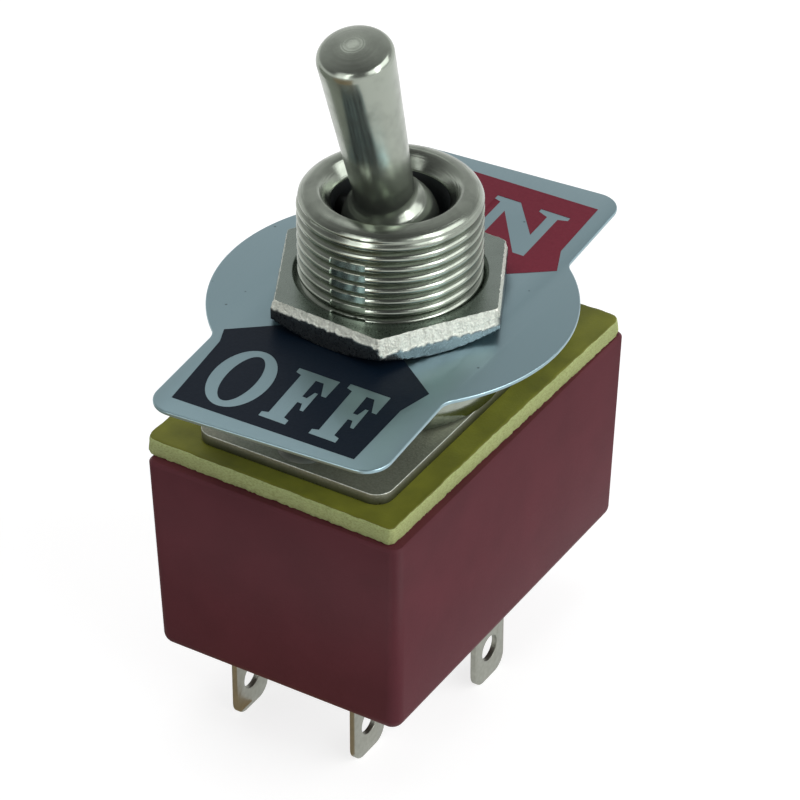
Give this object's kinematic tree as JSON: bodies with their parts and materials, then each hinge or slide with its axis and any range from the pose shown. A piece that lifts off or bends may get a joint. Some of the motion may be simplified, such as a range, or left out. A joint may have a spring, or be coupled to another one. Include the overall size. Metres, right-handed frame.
{
  "type": "panel toggle switch",
  "caption": "Toggle switch for panel mounting: metal lever in a threaded bush, ON-OFF label plate, moulded housing and solder lugs.",
  "frame": {"origin": "on the axis of the threaded bush, at the front face of the front hex nut, where the free thread starts", "axes": "+Z along the bush towards the lever, +X towards the ON end of the label plate, +Y across the poles"},
  "size_m": [0.0363, 0.0241, 0.0493],
  "materials": {
    "nickel_plate": "bright nickel plating over turned brass",
    "zinc_steel": "nickel-plated sheet steel",
    "spring_steel": "tempered spring steel",
    "label_aluminium": "satin aluminium with printed fields",
    "fibre_board": "laminated fibre board",
    "phenolic": "moulded phenolic, satin",
    "black_phenolic": "moulded phenolic",
    "nylon": "moulded nylon",
    "tinned_brass": "tinned brass strip",
    "contact_bronze": "phosphor bronze strip",
    "silver": "fine silver"
  },
  "bodies": {
    "base": {"pin_keeper": "nickel_plate", "bush": "nickel_plate", "front_nut": "nickel_plate", "back_nut": "nickel_plate", "lock_washer": "spring_steel", "label_plate": "label_aluminium", "mounting_plate": "zinc_steel", "insulating_board": "fibre_board", "housing": "phenolic", "body_rivets": "zinc_steel", "fixed_contact_left": "silver", "common_terminal_left": "tinned_brass", "line_terminal_left": "tinned_brass", "fixed_contact_right": "silver", "common_terminal_right": "tinned_brass", "line_terminal_right": "tinned_brass"},
    "lever": {"lever": "nickel_plate", "pivot_pin": "spring_steel", "actuator": "black_phenolic", "plunger_spring_left": "spring_steel", "plunger_spring_right": "spring_steel"},
    "plunger_left": {"plunger_left": "nylon"},
    "rocker_left": {"rocker_left": "contact_bronze", "moving_contact_left": "silver"},
    "plunger_right": {"plunger_right": "nylon"},
    "rocker_right": {"rocker_right": "contact_bronze", "moving_contact_right": "silver"}
  },
  "joints": [
    {"name": "lever_pivot", "type": "hinge", "parent": "base", "child": "lever", "pos_m": [0, 0, 0.0036], "axis": [0, 1, 0], "range_deg": [0, 32]},
    {"name": "rocker_left_pivot", "type": "hinge", "parent": "base", "child": "rocker_left", "pos_m": [0, 0.0038, -0.0195], "axis": [0, 1, 0], "range_deg": [-12, 0]},
    {"name": "plunger_left_slide", "type": "slide", "parent": "lever", "child": "plunger_left", "axis": [-0.2756, 0, 0.9613], "range_m": [0, 0.0006], "stiffness_N_per_m": 300, "deforming": ["plunger_spring_left"]},
    {"name": "rocker_right_pivot", "type": "hinge", "parent": "base", "child": "rocker_right", "pos_m": [0, -0.0038, -0.0195], "axis": [0, 1, 0], "range_deg": [-12, 0]},
    {"name": "plunger_right_slide", "type": "slide", "parent": "lever", "child": "plunger_right", "axis": [-0.2756, 0, 0.9613], "range_m": [0, 0.0006], "stiffness_N_per_m": 300, "deforming": ["plunger_spring_right"]}
  ],
  "couplings": [
    {"joint": "rocker_left_pivot", "follows": "lever_pivot", "ratio": -0.375},
    {"joint": "rocker_right_pivot", "follows": "lever_pivot", "ratio": -0.375}
  ]
}
